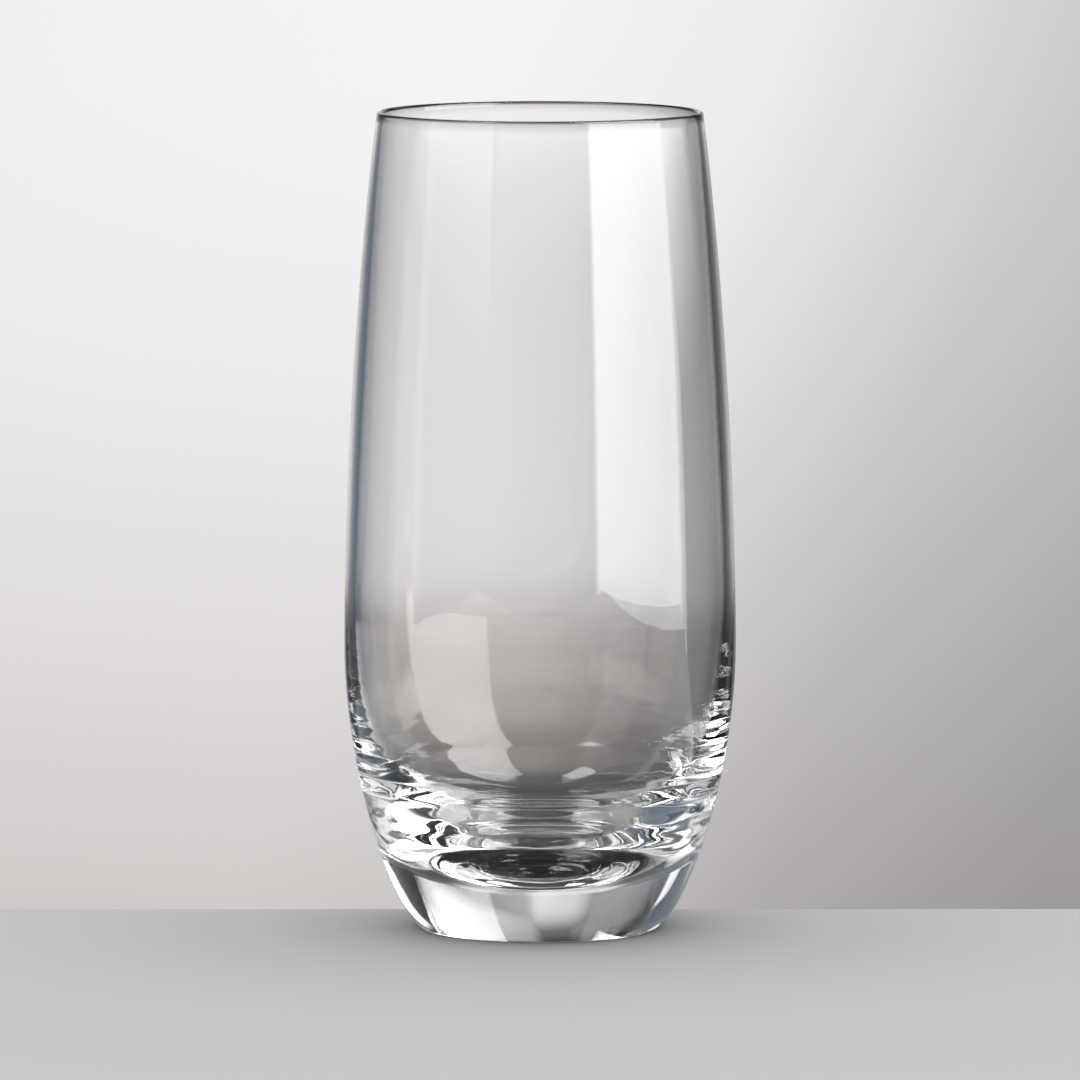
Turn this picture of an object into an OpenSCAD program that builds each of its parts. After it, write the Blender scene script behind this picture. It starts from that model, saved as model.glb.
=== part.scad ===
// A tall highball tumbler of clear glass, blown in one piece.
// Thin walls swell from the rim to a low belly and close in on a heavy solid base.
// The origin is the centre of the foot, on the surface the glass stands on, with +Z up.

/* [Body] */
// Height from the foot to the top of the rim
height = 140; // [120:1:170]
// Outside diameter at the rim
rim_d = 55.7; // [50:0.1:62]
// Outside diameter at the belly, the widest place
belly_d = 67.1; // [64:0.1:76]
// Height of the belly above the foot
belly_h = 49; // [42:1:60]
// How far the side leans inwards at the rim, in degrees
rim_lean = 7; // [2:1:12]

/* [Cup] */
// Thickness of the glass at the rim
rim_wall = 1.1; // [0.8:0.1:2.4]
// How much smaller the cup's widest radius is than the belly's
belly_wall = 1.9; // [1.2:0.1:4]
// Height at which the inside is widest
cup_belly_h = 56; // [50:1:66]
// Inside diameter at the shoulder, where the wall turns in to the floor
shoulder_d = 50.3; // [46:0.1:53]
// Height of that shoulder above the foot
shoulder_h = 24.9; // [22:0.1:30]
// Slope of the inside at the shoulder, up from the level, in degrees
shoulder_rise = 52; // [46:1:60]
// Height of the cup's floor at its lowest, above the foot
floor_h = 10.3; // [8:0.1:14]

/* [Foot] */
// Outside diameter of the flat ring that the glass stands on
foot_d = 40.2; // [36:0.1:46]
// Width of that flat ring
foot_ring_w = 4.6; // [1:0.1:7]
// Depth of the shallow hollow under the base
punt_h = 3.4; // [0.4:0.1:4.4]
// Radius of the rounded outer edge of the foot
foot_edge_r = 0.8; // [0.3:0.1:2]
// Angle at which the side leaves the foot, up from the level, in degrees
foot_rise = 42; // [34:1:55]

/* [Hidden] */

// How far each curve's handle reaches, as a share of the height that the curve climbs
side_rim_share = 0.48;
side_belly_share = 0.06;
side_low_share = 0.435;
side_foot_share = 0.104;
cup_rim_share = 0.25;
cup_belly_share = 0.14;
cup_wall_share = 0.69;
cup_shoulder_share = 0.095;
cup_corner_share = 0.237;
// How far the cup's floor runs out level, as a share of the shoulder's radius
cup_floor_share = 0.785;

// Steps in each long curve, and in each small rounding
curve_steps = 24;
round_steps = 6;
$fn = 96;

// The points of a cubic curve from a to d, with the handles b and c, after its start
function curve(a, b, c, d) =
    [for (i = [1:curve_steps]) let (t = i / curve_steps, u = 1 - t)
        pow(u, 3) * a + 3 * pow(u, 2) * t * b + 3 * u * pow(t, 2) * c + pow(t, 3) * d];

// The points of an arc about a centre, from one angle to another, after its start
function arc(centre, r, from, to) =
    [for (i = [1:round_steps]) let (a = from + (to - from) * i / round_steps)
        centre + r * [cos(a), sin(a)]];

// The hollow under the base: a shallow spherical cap, from the middle out to the ring
punt_r = foot_d / 2 - foot_ring_w;
punt_sphere_r = (pow(punt_r, 2) + pow(punt_h, 2)) / (2 * punt_h);
punt = arc([0, punt_h - punt_sphere_r], punt_sphere_r, 90, 90 - asin(punt_r / punt_sphere_r));

// The flat ring's outer line and the rounded edge of the foot
ring_edge = [foot_d / 2, 0];
foot_edge = arc(ring_edge + [0, foot_edge_r], foot_edge_r, -90, foot_rise - 90);

// The outside, up from the foot to the belly and on to the rim
side_start = foot_edge[round_steps - 1];
belly = [belly_d / 2, belly_h];
rim_outer = [rim_d / 2, height - rim_wall / 2];
lower_h = belly.y - side_start.y;
upper_h = rim_outer.y - belly.y;
lower_side = curve(side_start,
    side_start + side_foot_share * lower_h * [1 / tan(foot_rise), 1],
    belly - [0, side_low_share * lower_h],
    belly);
upper_side = curve(belly,
    belly + [0, side_belly_share * upper_h],
    rim_outer + side_rim_share * upper_h * [tan(rim_lean), -1],
    rim_outer);

// The fire-polished lip, half round
lip = arc(rim_outer - [rim_wall / 2, 0], rim_wall / 2, 0, 180);

// The inside, down from the lip to its widest place, to the shoulder and to the middle of the floor
rim_inner = rim_outer - [rim_wall, 0];
cup_belly = [belly.x - belly_wall, cup_belly_h];
shoulder = [shoulder_d / 2, shoulder_h];
shoulder_slope = [cos(shoulder_rise), sin(shoulder_rise)];
cup_floor = [0, floor_h];
cup_upper_h = rim_inner.y - cup_belly.y;
cup_wall_h = cup_belly.y - shoulder.y;
cup_corner_h = shoulder.y - cup_floor.y;
upper_cup = curve(rim_inner,
    rim_inner + cup_rim_share * cup_upper_h * [tan(rim_lean), -1],
    cup_belly + [0, cup_belly_share * cup_upper_h],
    cup_belly);
cup_wall = curve(cup_belly,
    cup_belly - [0, cup_wall_share * cup_wall_h],
    shoulder + cup_shoulder_share * cup_wall_h * shoulder_slope,
    shoulder);
cup_bottom = curve(shoulder,
    shoulder - cup_corner_share * cup_corner_h * shoulder_slope,
    cup_floor + [cup_floor_share * shoulder.x, 0],
    cup_floor);

module tumbler() {
    color([0.86, 0.9, 0.91, 0.45])
        rotate_extrude()
            polygon(concat([[0, punt_h]], punt, [ring_edge], foot_edge,
                lower_side, upper_side, lip, upper_cup, cup_wall, cup_bottom));
}

tumbler();
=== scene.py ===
import math

import bmesh
import bpy
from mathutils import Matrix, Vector, noise


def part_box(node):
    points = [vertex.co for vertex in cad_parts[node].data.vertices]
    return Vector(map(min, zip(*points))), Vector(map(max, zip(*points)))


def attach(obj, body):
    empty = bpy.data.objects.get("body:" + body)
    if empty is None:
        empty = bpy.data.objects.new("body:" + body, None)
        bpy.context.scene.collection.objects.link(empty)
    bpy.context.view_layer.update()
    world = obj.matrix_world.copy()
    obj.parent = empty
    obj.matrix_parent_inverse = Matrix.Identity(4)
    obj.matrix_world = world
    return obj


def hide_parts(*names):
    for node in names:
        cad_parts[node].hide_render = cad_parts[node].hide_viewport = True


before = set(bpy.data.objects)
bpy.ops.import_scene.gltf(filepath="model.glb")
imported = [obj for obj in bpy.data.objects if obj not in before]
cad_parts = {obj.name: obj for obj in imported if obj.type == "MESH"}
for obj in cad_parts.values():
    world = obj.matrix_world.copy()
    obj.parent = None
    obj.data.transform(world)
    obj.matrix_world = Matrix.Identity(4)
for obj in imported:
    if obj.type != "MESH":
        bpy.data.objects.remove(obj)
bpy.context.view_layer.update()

# The tumbler is one piece of clear glass, blown in a mould, so it is round all about its upright axis.
# Its wall is thin at the rim and thickens steadily below the belly, down to a heavy base left solid.
# The lip is melted smooth by a flame, and a shallow hollow under the base leaves a ring to stand on.
mm = 0.001
foot_corner, rim_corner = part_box("tumbler")
height = rim_corner.z
belly_r = -foot_corner.x
belly_h = 49 * mm
rim_r = 27.85 * mm
rim_wall = 1.1 * mm
rim_lean = math.radians(7)
belly_wall = 1.9 * mm
cup_belly_r = belly_r - belly_wall
cup_belly_h = 56 * mm
shoulder_r = 25.15 * mm
shoulder_h = 24.9 * mm
shoulder_rise = math.radians(52)
floor_h = 10.3 * mm
foot_r = 20.1 * mm
foot_edge_r = 0.8 * mm
foot_rise = math.radians(42)
foot_ring_w = 4.6 * mm
punt_r = foot_r - foot_ring_w
punt_h = 3.4 * mm
# How far each curve's handle reaches, as a share of the height that the curve climbs.
side_rim_share = 0.48
side_belly_share = 0.06
side_low_share = 0.435
side_foot_share = 0.104
cup_rim_share = 0.25
cup_belly_share = 0.14
cup_wall_share = 0.69
cup_shoulder_share = 0.095
cup_corner_share = 0.237
# How far the cup's floor runs out level, as a share of the shoulder's radius.
cup_floor_share = 0.785
# Steps along each stretch of the outline, finest where the wall is rippled, and steps round the glass.
punt_steps = 24
edge_steps = 6
side_steps = 40
lip_steps = 8
rippled_steps = 130
floor_steps = 60
round_steps = 180
merge_distance = 0.001 * mm


def knot(r, z, before=(0, 0), after=(0, 0)):
    """A point of the outline, with how far its handles reach back and on along the line."""
    point = Vector((r, 0, z))
    return point, point + Vector((before[0], 0, before[1])), point + Vector((after[0], 0, after[1]))


def arc_handle(radius, angle):
    """How far the handles reach on a round stretch that turns through an angle."""
    return radius * math.tan(angle / 4) * 4 / 3


# The outline runs from the middle of the hollow out round the foot, up to the lip and down inside the cup
# to the middle of its floor.
punt_sphere_r = (punt_r**2 + punt_h**2) / (2 * punt_h)
punt_angle = math.asin(punt_r / punt_sphere_r)
punt_reach = arc_handle(punt_sphere_r, punt_angle)
punt_slope = Vector((-math.cos(punt_angle), math.sin(punt_angle)))
edge_reach = arc_handle(foot_edge_r, foot_rise)
edge_end = Vector((foot_r + foot_edge_r * math.sin(foot_rise), foot_edge_r * (1 - math.cos(foot_rise))))
foot_slope = Vector((1 / math.tan(foot_rise), 1))
lip_r = rim_wall / 2
lip_h = height - lip_r
lip_reach = arc_handle(lip_r, math.pi / 2)
rim_slope = Vector((math.tan(rim_lean), -1))
shoulder_slope = Vector((math.cos(shoulder_rise), math.sin(shoulder_rise)))
lower_side = belly_h - edge_end.y
upper_side = lip_h - belly_h
upper_cup = lip_h - cup_belly_h
lower_cup = cup_belly_h - shoulder_h
corner = shoulder_h - floor_h
knots = [
    knot(0, punt_h, after=(punt_reach, 0)),
    knot(punt_r, 0, before=punt_reach * punt_slope),
    knot(foot_r, 0, after=(edge_reach, 0)),
    knot(*edge_end, before=-edge_reach * foot_slope.normalized(),
         after=side_foot_share * lower_side * foot_slope),
    knot(belly_r, belly_h, before=(0, -side_low_share * lower_side),
         after=(0, side_belly_share * upper_side)),
    knot(rim_r, lip_h, before=side_rim_share * upper_side * rim_slope, after=(0, lip_reach)),
    knot(rim_r - lip_r, height, before=(lip_reach, 0), after=(-lip_reach, 0)),
    knot(rim_r - rim_wall, lip_h, before=(0, lip_reach), after=cup_rim_share * upper_cup * rim_slope),
    knot(cup_belly_r, cup_belly_h, before=(0, cup_belly_share * upper_cup),
         after=(0, -cup_wall_share * lower_cup)),
    knot(shoulder_r, shoulder_h, before=cup_shoulder_share * lower_cup * shoulder_slope,
         after=-cup_corner_share * corner * shoulder_slope),
    knot(0, floor_h, before=(cup_floor_share * shoulder_r, 0)),
]
stretches = [
    (knots[:2], punt_steps),
    (knots[1:4], edge_steps),
    (knots[3:6], side_steps),
    (knots[5:8], lip_steps),
    (knots[7:9], side_steps),
    (knots[8:10], rippled_steps),
    (knots[9:], floor_steps),
]
outline = bpy.data.curves.new("tumbler_outline", "CURVE")
outline.dimensions = "3D"
for stretch, steps in stretches:
    line = outline.splines.new("BEZIER")
    line.resolution_u = steps
    line.bezier_points.add(len(stretch) - 1)
    for point, (place, handle_before, handle_after) in zip(line.bezier_points, stretch):
        point.handle_left_type = point.handle_right_type = "FREE"
        point.co, point.handle_left, point.handle_right = place, handle_before, handle_after
outline_object = bpy.data.objects.new("tumbler_outline", outline)
outline_mesh = bpy.data.meshes.new_from_object(outline_object)
bpy.data.objects.remove(outline_object)

bm = bmesh.new()
bm.from_mesh(outline_mesh)
bmesh.ops.spin(bm, geom=bm.verts[:] + bm.edges[:], cent=(0, 0, 0), axis=(0, 0, 1), dvec=(0, 0, 0),
               angle=2 * math.pi, steps=round_steps, use_merge=True, use_normal_flip=False,
               use_duplicate=False)
bmesh.ops.remove_doubles(bm, verts=bm.verts, dist=merge_distance)
bmesh.ops.recalc_face_normals(bm, faces=bm.faces)
bm.normal_update()

# The thick wall cools slower than the mould and creeps down it, so it keeps level ripples that widen with
# their depth below the top one, where a step inwards counts as a share of a step down. They are strongest
# low down, on the inside, and on the left and right.
ripple_top = 57 * mm
ripple_length = 0.55 * mm
ripple_growth = 0.12 * mm
ripple_arc = 16 * mm
ripple_height_share = 0.02333
inward_share = 0.8
ripples_begin = (0, 10 * mm)
ripples_deepen = (14 * mm, 28 * mm)
high_share = 0.5
front_share = 0.15
outside_share = 0.15
axis_r = 1 * mm
# They leave the middle of the cup's floor, the flat foot ring and the outside of the foot smooth.
smooth_middle = (7 * mm, 13 * mm)
flat_ring = (0, 0.3 * mm)
smooth_foot = (12 * mm, 22 * mm)
# The cup's floor and the hollow under it set slightly uneven, in broad waves with finer ones on them.
uneven_depth = 0.04 * mm
uneven_length = 7 * mm
uneven_squash = 1.6
finer_share = 0.5
finer_length = 0.3 * uneven_length
finer_offset = Vector((7, 3, 1))
uneven_from = (0, 2 * mm)
uneven_until = (14 * mm, 24 * mm)
calm_middle = (9 * mm, 17 * mm)
calm_share = 0.25
upward_share = 0.7


def fade(value, start, end, least=0):
    """A share that grows softly, from least before start to all of it past end."""
    way = min(1, max(0, (value - start) / (end - start)))
    return least + (1 - least) * (way * way * (3 - 2 * way))


for v in bm.verts:
    x, y, z = v.co
    r = math.hypot(x, y)
    depth = max(0, ripple_top - z + inward_share * (cup_belly_r - r))
    length = math.sqrt(ripple_length**2 + ripple_growth * depth)
    ripple = noise.noise(Vector((x / ripple_arc, y / ripple_arc, 2 * length / ripple_growth)))
    ripple *= length * ripple_height_share
    ripple *= fade(depth, *ripples_begin) * fade(depth, *ripples_deepen, least=high_share)
    ripple *= front_share + (1 - front_share) * (x / max(r, axis_r))**2
    # The inside and the hollow face the axis, and the cup's floor faces up.
    if v.normal.dot(Vector((x, y, 0))) < 0 or v.normal.z > upward_share and z < shoulder_h:
        spot = Vector((x, y, uneven_squash * z))
        wave = noise.noise(spot / uneven_length)
        wave += finer_share * noise.noise(spot / finer_length + finer_offset)
        wave *= fade(z, *uneven_from) * (1 - fade(z, *uneven_until))
        wave *= fade(r, *calm_middle, least=calm_share)
        ripple *= fade(z, *flat_ring) * fade(r, *smooth_middle)
        ripple += uneven_depth * wave
    else:
        ripple *= outside_share * fade(z, *smooth_foot)
    v.co += v.normal * ripple
for face in bm.faces:
    face.smooth = True
mesh = bpy.data.meshes.new("clear_tumbler")
bm.to_mesh(mesh)
bm.free()
tumbler = bpy.data.objects.new("clear_tumbler", mesh)
bpy.context.scene.collection.objects.link(tumbler)

# The glass is clear and fire polished, with a faint waviness from the mould. Only the ring that it stands
# on is scuffed dull, from being set down.
glass_colour = (0.999, 0.997, 0.994, 1)
glass_ior = 1.52
waviness_length = 3 * mm
waviness_depth = 0.004 * mm
waviness_detail = 1
scuff_length = 0.4 * mm
scuff_detail = 3
scuff_top = 0.1 * mm
scuff_dulling = 0.2
clear_glass = bpy.data.materials.new("clear_glass")
clear_glass.use_nodes = True
nodes, links = clear_glass.node_tree.nodes, clear_glass.node_tree.links
own_place = nodes.new("ShaderNodeTexCoord").outputs["Object"]


def mottling(length, detail):
    """A soft random pattern all over the glass, by the length of its patches."""
    pattern = nodes.new("ShaderNodeTexNoise")
    pattern.inputs["Scale"].default_value = 1 / length
    pattern.inputs["Detail"].default_value = detail
    links.new(own_place, pattern.inputs["Vector"])
    return pattern.outputs["Fac"]


waved = nodes.new("ShaderNodeBump")
waved.inputs["Strength"].default_value = 1
waved.inputs["Distance"].default_value = waviness_depth
links.new(mottling(waviness_length, waviness_detail), waved.inputs["Height"])
axes = nodes.new("ShaderNodeSeparateXYZ")
links.new(own_place, axes.inputs[0])
standing = nodes.new("ShaderNodeMapRange")
standing.inputs["From Min"].default_value = 0
standing.inputs["From Max"].default_value = scuff_top
standing.inputs["To Min"].default_value = scuff_dulling
standing.inputs["To Max"].default_value = 0
links.new(axes.outputs["Z"], standing.inputs["Value"])
dulled = nodes.new("ShaderNodeMath")
dulled.operation = "MULTIPLY"
links.new(mottling(scuff_length, scuff_detail), dulled.inputs[0])
links.new(standing.outputs[0], dulled.inputs[1])
shader = nodes["Principled BSDF"]
shader.inputs["Base Color"].default_value = glass_colour
shader.inputs["Transmission Weight"].default_value = 1
shader.inputs["IOR"].default_value = glass_ior
links.new(waved.outputs["Normal"], shader.inputs["Normal"])
links.new(dulled.outputs[0], shader.inputs["Roughness"])
mesh.materials.append(clear_glass)

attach(tumbler, "root")
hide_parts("tumbler")

# The floor is a plain pale board with a mat face, and its rounded back edge lies close behind the glass.
# A hair of air stays between it and the foot, as under any glass that stands on a board.
board_back = 21.7 * mm
board_front = 0.8
board_side = 0.6
board_thick = 30 * mm
board_gap = 0.02 * mm
board_edge_r = 1.2 * mm
board_edge_steps = 4
board_colour = (0.6, 0.6, 0.6, 1)
board_roughness = 0.8
bm = bmesh.new()
bmesh.ops.create_cube(bm, size=1)
for v in bm.verts:
    v.co.x *= 2 * board_side
    v.co.y = board_back if v.co.y > 0 else -board_front
    v.co.z = (v.co.z - 0.5) * board_thick - board_gap
back_edge = [e for e in bm.edges if all(v.co.z > -board_thick / 2 and v.co.y > 0 for v in e.verts)]
bmesh.ops.bevel(bm, geom=back_edge, offset=board_edge_r, segments=board_edge_steps, profile=0.5,
                affect="EDGES", material=-1)
mesh = bpy.data.meshes.new("board")
bm.to_mesh(mesh)
bm.free()
board = bpy.data.objects.new("board", mesh)
bpy.context.scene.collection.objects.link(board)
pale_paint = bpy.data.materials.new("pale_paint")
pale_paint.use_nodes = True
shader = pale_paint.node_tree.nodes["Principled BSDF"]
shader.inputs["Base Color"].default_value = board_colour
shader.inputs["Roughness"].default_value = board_roughness
shader.inputs["Specular IOR Level"].default_value = 0
mesh.materials.append(pale_paint)

# The studio is plain and soft: even light all round for the board, and for the glass a room with a pale
# sheet behind it, soft boxes on both sides and a small lamp high up. The room is painted on its wall by
# azimuth, with 0 behind the glass and 90 on its right, and by elevation, all in degrees.
even_light = (1, 1, 1, 1)
round_reach = 180
leaning_reach = 190
height_reach = 90
glass_bounces = 24
room = bpy.data.worlds.new("room")
bpy.context.scene.world = room
room.use_nodes = True
nodes, links = room.node_tree.nodes, room.node_tree.links


def feed(socket, value):
    """Joins a socket to another node's output, or sets it to a value."""
    if isinstance(value, bpy.types.NodeSocket):
        links.new(value, socket)
    else:
        socket.default_value = value


def number(operation, *values):
    """One sum on numbers or on the outputs of other nodes."""
    node = nodes.new("ShaderNodeMath")
    node.operation = operation
    for socket, value in zip(node.inputs, values):
        feed(socket, value)
    return node.outputs[0]


def blend(kind, a, b, share=1.0):
    """Two colours blended."""
    node = nodes.new("ShaderNodeMix")
    node.data_type = "RGBA"
    node.blend_type = kind
    feed(node.inputs["Factor"], share)
    feed(node.inputs["A"], a)
    feed(node.inputs["B"], b)
    return node.outputs["Result"]


def wall_scale(angle, reach, stops):
    """Greys or colours that change softly with an angle, which runs from -reach to reach."""
    scale = nodes.new("ShaderNodeValToRGB")
    scale.color_ramp.interpolation = "EASE"
    links.new(number("DIVIDE", number("ADD", angle, reach), 2 * reach), scale.inputs[0])
    elements = scale.color_ramp.elements
    elements.remove(elements[1])
    for i, (angle_there, shade) in enumerate(stops):
        position = (angle_there + reach) / (2 * reach)
        stop = elements.new(position) if i else elements[0]
        stop.position = position
        stop.color = (*shade, 1) if isinstance(shade, tuple) else (shade, shade, shade, 1)
    return scale.outputs["Color"]


view_line = nodes.new("ShaderNodeSeparateXYZ")
links.new(nodes.new("ShaderNodeTexCoord").outputs["Generated"], view_line.inputs[0])
azimuth = number("DEGREES", number("ARCTAN2", view_line.outputs["X"], view_line.outputs["Y"]))
elevation = number("DEGREES", number("ARCSINE", view_line.outputs["Z"]))

# The pale sheet hangs behind the glass, between blue-black sides. It is white on its left, and painted shade
# makes it grey on its right and darker low down, where less light falls on it. Near the board its edges
# lean to the right as they rise.
sheet_foot = -8
sheet_shift = 0.2
lean_share = 0.32
lean_height = 5
height_over_foot = number("MAXIMUM", number("ADD", elevation, -sheet_foot), 0)
lean = number("MULTIPLY", number("MINIMUM", height_over_foot, lean_height), lean_share)
sheet_angle = number("ADD", azimuth, number("SUBTRACT", sheet_shift, lean))
# Across the sheet: white on the left, then painted shade greys it towards the right.
sheet_sides_with_painted_shade = wall_scale(sheet_angle, leaning_reach, [
    (-150, (0.06, 0.09, 0.13)), (-90, (0.06, 0.1, 0.16)), (-40, (0.09, 0.13, 0.18)), (-20, (0.2, 0.22, 0.25)),
    (-10, 0.82), (-1, 0.92), (3, 0.5), (18, 0.35), (22, 0.12), (32, 0.1),
    (38, (0.01, 0.02, 0.04)), (84, (0.015, 0.03, 0.05)), (150, (0.06, 0.09, 0.13))])
# Up the sheet: painted shade darkens it low down, below the board's level.
sheet_heights_with_painted_shade = wall_scale(elevation, height_reach, [
    (-90, 0.02), (-48, (0.06, 0.057, 0.056)), (-32, (0.12, 0.114, 0.11)), (-20, (0.28, 0.26, 0.25)),
    (-12, (0.45, 0.42, 0.41)), (-3, (1, 0.985, 0.98)), (12, 0.95), (19, 0.86), (30, 0.17), (37, 0.08),
    (75, 0.12), (90, 0.25)])
wall = blend("MULTIPLY", sheet_heights_with_painted_shade, sheet_sides_with_painted_shade)

# What else is pale in the room: how bright it is at each azimuth, and what share of that at each elevation.
pale_places = {
    "wings of the sheet": (
        [(-24, 0), (-16, 0.75), (-6, 0.8), (4, 0), (9, 0.6), (17, 0.55), (23, 0)],
        [(-8, 0), (-4, 1), (14, 1), (20, 0)]),
    "wall above it on the left": (
        [(-46, 0), (-34, 0.3), (-12, 0.32), (-6, 0)],
        [(10, 0), (18, 1), (28, 0.8), (36, 0.4), (44, 0)]),
    "wall above it on the right": (
        [(-4, 0), (4, 0.5), (14, 0.62), (34, 0.62), (46, 0)],
        [(16, 0), (24, 1), (36, 0.8), (46, 0)]),
    "large soft box on the right": (
        [(83, 0), (85, 5.2), (120, 5.2), (144, 4.6), (147, 0)],
        [(-8.5, 0), (-7, 0.7), (10, 1), (36, 1.5), (66, 1.5), (72, 0)]),
    "glow beside it": (
        [(50, 0), (66, 2), (84, 3.6), (88, 0)],
        [(-1, 0), (3, 1), (11, 1), (13, 0)]),
    "weak soft box on the left": (
        [(-149, 0), (-146, 1.4), (-96, 1.5), (-76, 0)],
        [(2, 0), (6, 1), (11, 1), (14, 0)]),
    "small lamp high above it": (
        [(-129, 0), (-127, 8), (-101, 8), (-99, 0)],
        [(52, 0), (53, 1), (68, 1), (70, 0)]),
    "narrow strip light further back": (
        [(-64, 0), (-61, 1.3), (-52, 1.3), (-49, 0)],
        [(8, 0), (13, 1), (31, 1), (35, 0)]),
    "room behind the camera": (
        [(-152, 1), (-146, 0), (140, 0), (148, 1)],
        [(3, 0), (9, 1), (12, 1), (18, 0)]),
    "sheet on the far left": (
        [(-104, 0), (-101, 0.63), (-81, 0.63), (-78, 0)],
        [(-10, 0), (-8, 1), (2, 1), (6, 0)]),
    "ground beyond the board": (
        [(-112, 0), (-106, 1), (-36, 1), (-30, 0), (118, 0), (124, 1), (146, 1), (152, 0)],
        [(-90, 0.3), (-70, 0.6), (-11, 0.6), (-9, 0)]),
}
for bright_sides, height_shares in pale_places.values():
    sides = wall_scale(azimuth, round_reach, bright_sides)
    pale_place = blend("MULTIPLY", sides, wall_scale(elevation, height_reach, height_shares))
    wall = blend("LIGHTEN", wall, pale_place)

# What the camera, reflections and the glass see is that wall, and mat faces get even light from all round.
ray = nodes.new("ShaderNodeLightPath")
seen = number("MAXIMUM", number("MAXIMUM", ray.outputs["Is Camera Ray"], ray.outputs["Is Glossy Ray"]),
              ray.outputs["Is Transmission Ray"])
links.new(blend("MIX", even_light, wall, seen), nodes["Background"].inputs["Color"])
cycles = bpy.context.scene.cycles
cycles.caustics_refractive = cycles.caustics_reflective = False
cycles.max_bounces = cycles.transmission_bounces = cycles.glossy_bounces = glass_bounces

# The camera stands in front of the glass, higher than its rim, and looks slightly down at it through a long
# lens, as in the photograph.
camera_away = 1.76457
camera_h = 0.25261
camera_tilt = math.radians(6.018)
focal_length_in_mm = 345.9
camera_lens = bpy.data.cameras.new("camera")
camera_lens.lens = focal_length_in_mm
camera = bpy.data.objects.new("camera", camera_lens)
camera.location = (0, -camera_away, camera_h)
camera.rotation_euler = (math.pi / 2 - camera_tilt, 0, 0)
bpy.context.scene.collection.objects.link(camera)
bpy.context.scene.camera = camera
bpy.context.scene.view_settings.view_transform = "Standard"
